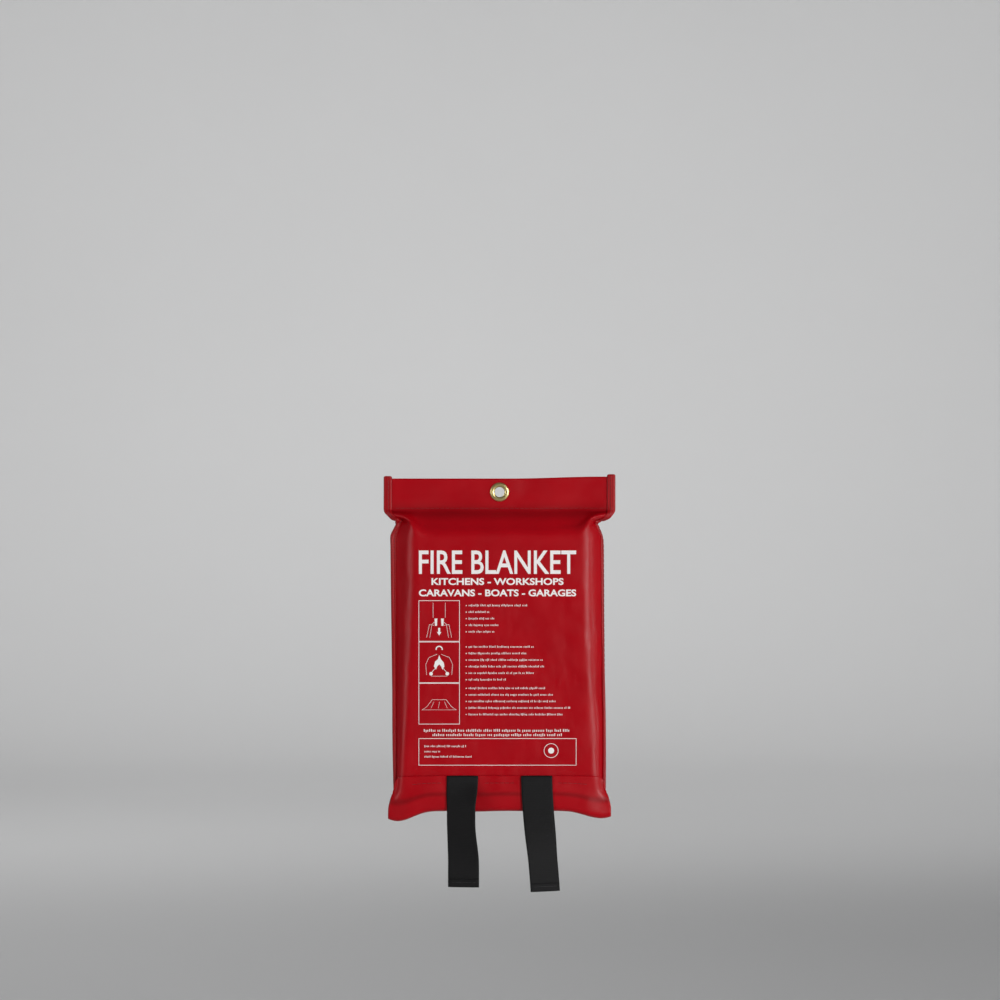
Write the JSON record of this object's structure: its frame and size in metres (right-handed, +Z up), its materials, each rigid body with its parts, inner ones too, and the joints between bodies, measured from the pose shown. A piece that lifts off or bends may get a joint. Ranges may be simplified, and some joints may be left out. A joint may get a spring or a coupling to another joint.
{
  "type": "fire blanket",
  "caption": "Folded fire blanket in a flat red hanging pouch with a brass eyelet in its header, a flap over its bottom mouth, and black pull straps hanging in front.",
  "frame": {"origin": "centre of the hanging eyelet, in the plane where the pouch's two panels meet", "axes": "+X to the right seen from the front, +Y back into the wall along the eyelet's axis, +Z up"},
  "size_m": [0.186, 0.0307, 0.333],
  "materials": {
    "coated_fabric": "semi-gloss PVC-coated polyester fabric, red",
    "edge_tape": "woven polyester edge tape, red, slightly glossy",
    "red_thread": "twisted polyester sewing thread, red",
    "brass": "pressed and polished brass",
    "hook_and_loop": "nylon hook and loop tape, dark red",
    "glass_cloth": "woven glass-fibre cloth, off-white, matt",
    "webbing": "woven polyester webbing, black",
    "black_thread": "twisted polyester sewing thread, black"
  },
  "bodies": {
    "pouch": {"back_panel": "coated_fabric", "front_panel": "coated_fabric", "side_tape_left": "edge_tape", "side_tape_right": "edge_tape", "tape_stitches_left": "red_thread", "tape_stitches_right": "red_thread", "header_seam_stitches": "red_thread", "eyelet": "brass", "eyelet_washer": "brass", "loop_strips": "hook_and_loop"},
    "flap_base": {"bottom_gusset": "coated_fabric"},
    "flap_front": {"closure_flap": "coated_fabric", "hook_strips": "hook_and_loop", "flap_stitches": "red_thread"},
    "blanket": {"folded_blanket": "glass_cloth", "strap_root_left": "webbing", "strap_root_right": "webbing", "anchor_stitches_left": "black_thread", "anchor_stitches_right": "black_thread"},
    "strap_left": {"strap_tail_left": "webbing", "strap_hem_stitches_left": "black_thread"},
    "strap_right": {"strap_tail_right": "webbing", "strap_hem_stitches_right": "black_thread"}
  },
  "joints": [
    {"name": "blanket_pull", "type": "slide", "parent": "pouch", "child": "blanket", "axis": [0, 0, -1], "range_m": [0, 0.215], "deforming": ["bottom_gusset", "closure_flap", "hook_strips", "flap_stitches"]},
    {"name": "flap_drop", "type": "hinge", "parent": "pouch", "child": "flap_base", "pos_m": [0, 0.0086, -0.2552], "axis": [1, 0, 0], "range_deg": [0, 90]},
    {"name": "flap_unfold", "type": "hinge", "parent": "flap_base", "child": "flap_front", "pos_m": [0, -0.0182, -0.2552], "axis": [1, 0, 0], "range_deg": [0, 90]},
    {"name": "strap_left_swing", "type": "hinge", "parent": "blanket", "child": "strap_left", "pos_m": [-0.0296, -0.0195, -0.2272], "axis": [-1, 0, 0], "range_deg": [0, 100]},
    {"name": "strap_right_swing", "type": "hinge", "parent": "blanket", "child": "strap_right", "pos_m": [0.0296, -0.0195, -0.2272], "axis": [-1, 0, 0], "range_deg": [0, 100]}
  ],
  "couplings": [
    {"joint": "flap_drop", "follows": "blanket_pull", "rad_per_m": 7.3},
    {"joint": "flap_unfold", "follows": "blanket_pull", "rad_per_m": 7.3}
  ]
}
